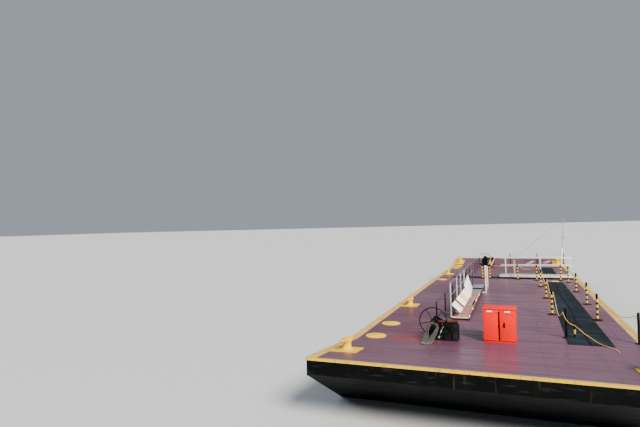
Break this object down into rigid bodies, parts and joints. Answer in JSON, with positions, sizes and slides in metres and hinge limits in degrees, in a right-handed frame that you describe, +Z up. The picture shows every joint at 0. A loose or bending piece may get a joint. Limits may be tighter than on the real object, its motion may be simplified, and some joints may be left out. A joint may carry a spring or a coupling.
{
  "type": "river deck barge",
  "caption": "Flat deck barge with raked ends, yellow-edged maroon deck, kevels, hand winches, red locker, gangways and roped mat walkway.",
  "frame": {"origin": "on the flat bottom, at the middle of the length and on the centreline", "axes": "+X to starboard, +Y forward to the head, +Z up"},
  "size_m": [9.4, 36.576, 6.3238],
  "materials": {
    "hull_black": "black bottom paint, scuffed",
    "deck_maroon": "maroon deck paint, worn and streaked, semi-gloss",
    "safety_yellow": "safety yellow enamel",
    "locker_red": "bright red enamel",
    "winch_black": "black enamel, greasy",
    "aft_hawser": "weathered laid rope",
    "head_hawser": "tan laid rope",
    "rubber_mat": "ribbed rubber",
    "striped_plastic": "yellow and black bands",
    "post_black": "black paint",
    "vent_tan": "faded tan paint",
    "yellow_rope": "yellow laid plastic rope",
    "gangway_aluminium": "dull mill finish",
    "white_panel": "white paint",
    "staff_white": "white paint"
  },
  "bodies": {
    "barge": {"hull": "hull_black", "deck": "deck_maroon", "gunwale_port": "safety_yellow", "gunwale_starboard": "safety_yellow", "gunwale_aft": "safety_yellow", "gunwale_head": "safety_yellow", "kevel_port_1": "safety_yellow", "kevel_port_2": "safety_yellow", "kevel_port_3": "safety_yellow", "kevel_starboard_1": "safety_yellow", "bitts_port": "safety_yellow", "bitts_starboard": "safety_yellow", "manhole_cover_1": "safety_yellow", "manhole_cover_2": "safety_yellow", "manhole_cover_3": "safety_yellow", "manhole_cover_4": "safety_yellow", "manhole_cover_5": "safety_yellow", "manhole_cover_6": "safety_yellow", "locker": "locker_red", "winch_aft_frame": "winch_black", "winch_head_frame": "winch_black", "hawser_aft": "aft_hawser", "hawser_head": "head_hawser", "walkway_mat": "rubber_mat", "walkway_mat_head": "rubber_mat", "cross_mat": "rubber_mat", "stanchion_inboard_1": "striped_plastic", "stanchion_inboard_2": "striped_plastic", "stanchion_inboard_3": "striped_plastic", "stanchion_inboard_4": "striped_plastic", "stanchion_outboard_1": "striped_plastic", "stanchion_outboard_2": "striped_plastic", "stanchion_outboard_3": "striped_plastic", "stanchion_outboard_4": "striped_plastic", "stanchion_mat_end": "striped_plastic", "stanchion_cross_1": "striped_plastic", "stanchion_cross_2": "striped_plastic", "stanchion_cross_3": "striped_plastic", "marker_post": "striped_plastic", "hook_post_inboard": "post_black", "hook_post_outboard": "post_black", "port_guard_posts": "post_black", "head_guard_posts": "post_black", "vent_post": "vent_tan", "rope_cross": "yellow_rope", "rope_inboard": "yellow_rope", "rope_outboard": "yellow_rope", "gangway_across": "gangway_aluminium", "gangway_lengthwise": "gangway_aluminium", "plain_panel": "white_panel", "slatted_panel": "white_panel", "tall_panel": "white_panel", "jackstaff": "staff_white"},
    "aft_drum": {"winch_aft_drum": "winch_black"},
    "aft_handwheel": {"winch_aft_handwheel": "winch_black"},
    "head_drum": {"winch_head_drum": "winch_black"},
    "head_handwheel": {"winch_head_handwheel": "winch_black"},
    "port_door": {"locker_door_port": "locker_red"},
    "starboard_door": {"locker_door_starboard": "locker_red"}
  },
  "joints": [
    {"name": "aft_drum_spin", "type": "hinge", "parent": "barge", "child": "aft_drum", "pos_m": [-1.64, -13.538, 2.4643], "axis": [0, 1, 0], "continuous": true},
    {"name": "aft_handwheel_spin", "type": "hinge", "parent": "barge", "child": "aft_handwheel", "pos_m": [-1.81, -13.538, 2.7893], "axis": [0, 1, 0], "continuous": true},
    {"name": "head_drum_spin", "type": "hinge", "parent": "barge", "child": "head_drum", "pos_m": [-1.635, 15.07552, 2.60939], "axis": [0, 0.9939, 0.1104], "continuous": true},
    {"name": "head_handwheel_spin", "type": "hinge", "parent": "barge", "child": "head_handwheel", "pos_m": [-1.805, 15.03963, 2.9324], "axis": [0, 0.9939, 0.1104], "continuous": true},
    {"name": "port_door_hinge", "type": "hinge", "parent": "barge", "child": "port_door", "pos_m": [-0.217, -13.6555, 2.634], "axis": [0, 0, -1], "range_deg": [0, 110]},
    {"name": "starboard_door_hinge", "type": "hinge", "parent": "barge", "child": "starboard_door", "pos_m": [0.827, -13.6555, 2.634], "axis": [0, 0, 1], "range_deg": [0, 110]}
  ],
  "couplings": [
    {"joint": "aft_handwheel_spin", "follows": "aft_drum_spin", "ratio": -3.35},
    {"joint": "head_handwheel_spin", "follows": "head_drum_spin", "ratio": -3.35}
  ]
}
